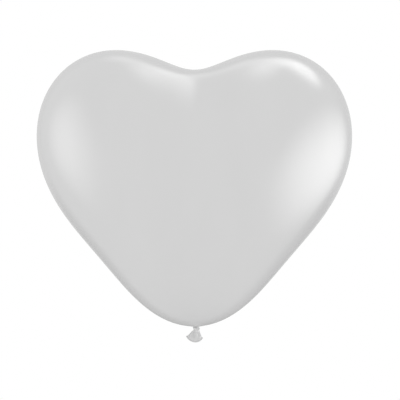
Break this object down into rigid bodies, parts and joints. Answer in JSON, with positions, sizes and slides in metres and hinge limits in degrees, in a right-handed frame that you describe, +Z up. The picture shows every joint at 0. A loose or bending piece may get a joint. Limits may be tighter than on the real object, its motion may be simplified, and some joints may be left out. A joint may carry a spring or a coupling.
{
  "type": "heart-shaped latex balloon",
  "caption": "Heart-shaped latex party balloon, blown up and tied off, with a knotted neck and a flared tail that ends in a rolled lip.",
  "frame": {"origin": "on the neck's axis, halfway between the underside of the heart and the top of the knot, where a ribbon is tied", "axes": "+Z up from the knot to the lobes, +X to the right seen from the front, and the front face looks along -Y"},
  "size_m": [0.3796, 0.2052, 0.3528],
  "materials": {
    "stretched_latex": "satin pearl grey, taut and smooth",
    "gathered_latex": "satin, gathered in fine lengthwise pleats",
    "slack_latex": "satin, slack film with soft pleats",
    "lip_latex": "satin, thicker rolled film"
  },
  "bodies": {
    "balloon": {"heart_envelope": "stretched_latex", "neck_stem": "gathered_latex"},
    "knot": {"knot_core": "gathered_latex", "knot_turn": "gathered_latex"},
    "strand": {"exit_strand": "gathered_latex"},
    "tail": {"tail_throat": "gathered_latex", "tail_skirt": "slack_latex", "rolled_lip": "lip_latex"}
  },
  "joints": [
    {"name": "knot_twist", "type": "hinge", "parent": "balloon", "child": "knot", "pos_m": [0, 0, -0.00245], "axis": [0, 0, 1], "range_deg": [-60, 60], "stiffness_Nm_per_rad": 0.00004},
    {"name": "tail_sway", "type": "hinge", "parent": "knot", "child": "strand", "pos_m": [0, 0, -0.00555], "axis": [0, 1, 0], "range_deg": [-35, 35], "stiffness_Nm_per_rad": 0.00004},
    {"name": "tail_flap", "type": "hinge", "parent": "strand", "child": "tail", "pos_m": [0, 0, -0.00555], "axis": [1, 0, 0], "range_deg": [-35, 35], "stiffness_Nm_per_rad": 0.00004}
  ]
}
